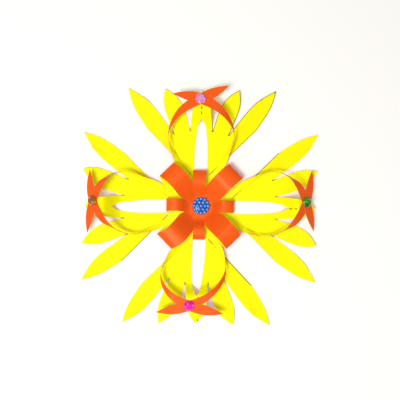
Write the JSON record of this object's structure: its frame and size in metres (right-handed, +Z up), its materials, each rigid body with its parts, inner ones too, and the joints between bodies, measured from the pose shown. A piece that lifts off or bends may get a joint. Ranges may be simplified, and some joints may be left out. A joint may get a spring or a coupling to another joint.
{
  "type": "layered paper flower",
  "caption": "Flat-lying cut and curled paper flower from one square sheet, with rolled loops, crossed ribbons, a pipped centre button and round gems.",
  "frame": {"origin": "centre of the square sheet, on its underside, where the fold lines meet", "axes": "+Z up out of the flower's face, X and Y along the square's fold lines"},
  "size_m": [0.216, 0.218, 0.0201],
  "materials": {
    "paper": "matt card, yellow on the front and orange on the back",
    "button": "moulded blue acrylic with rows of round pips",
    "gem_pink": "faceted pale pink acrylic",
    "gem_green": "faceted green acrylic",
    "gem_magenta": "faceted magenta acrylic",
    "gem_amber": "faceted amber acrylic"
  },
  "bodies": {
    "root": {"paper_sheet": "paper", "centre_button": "button", "gem_pink": "gem_pink", "gem_green": "gem_green", "gem_magenta": "gem_magenta", "gem_amber": "gem_amber"}
  },
  "joints": []
}
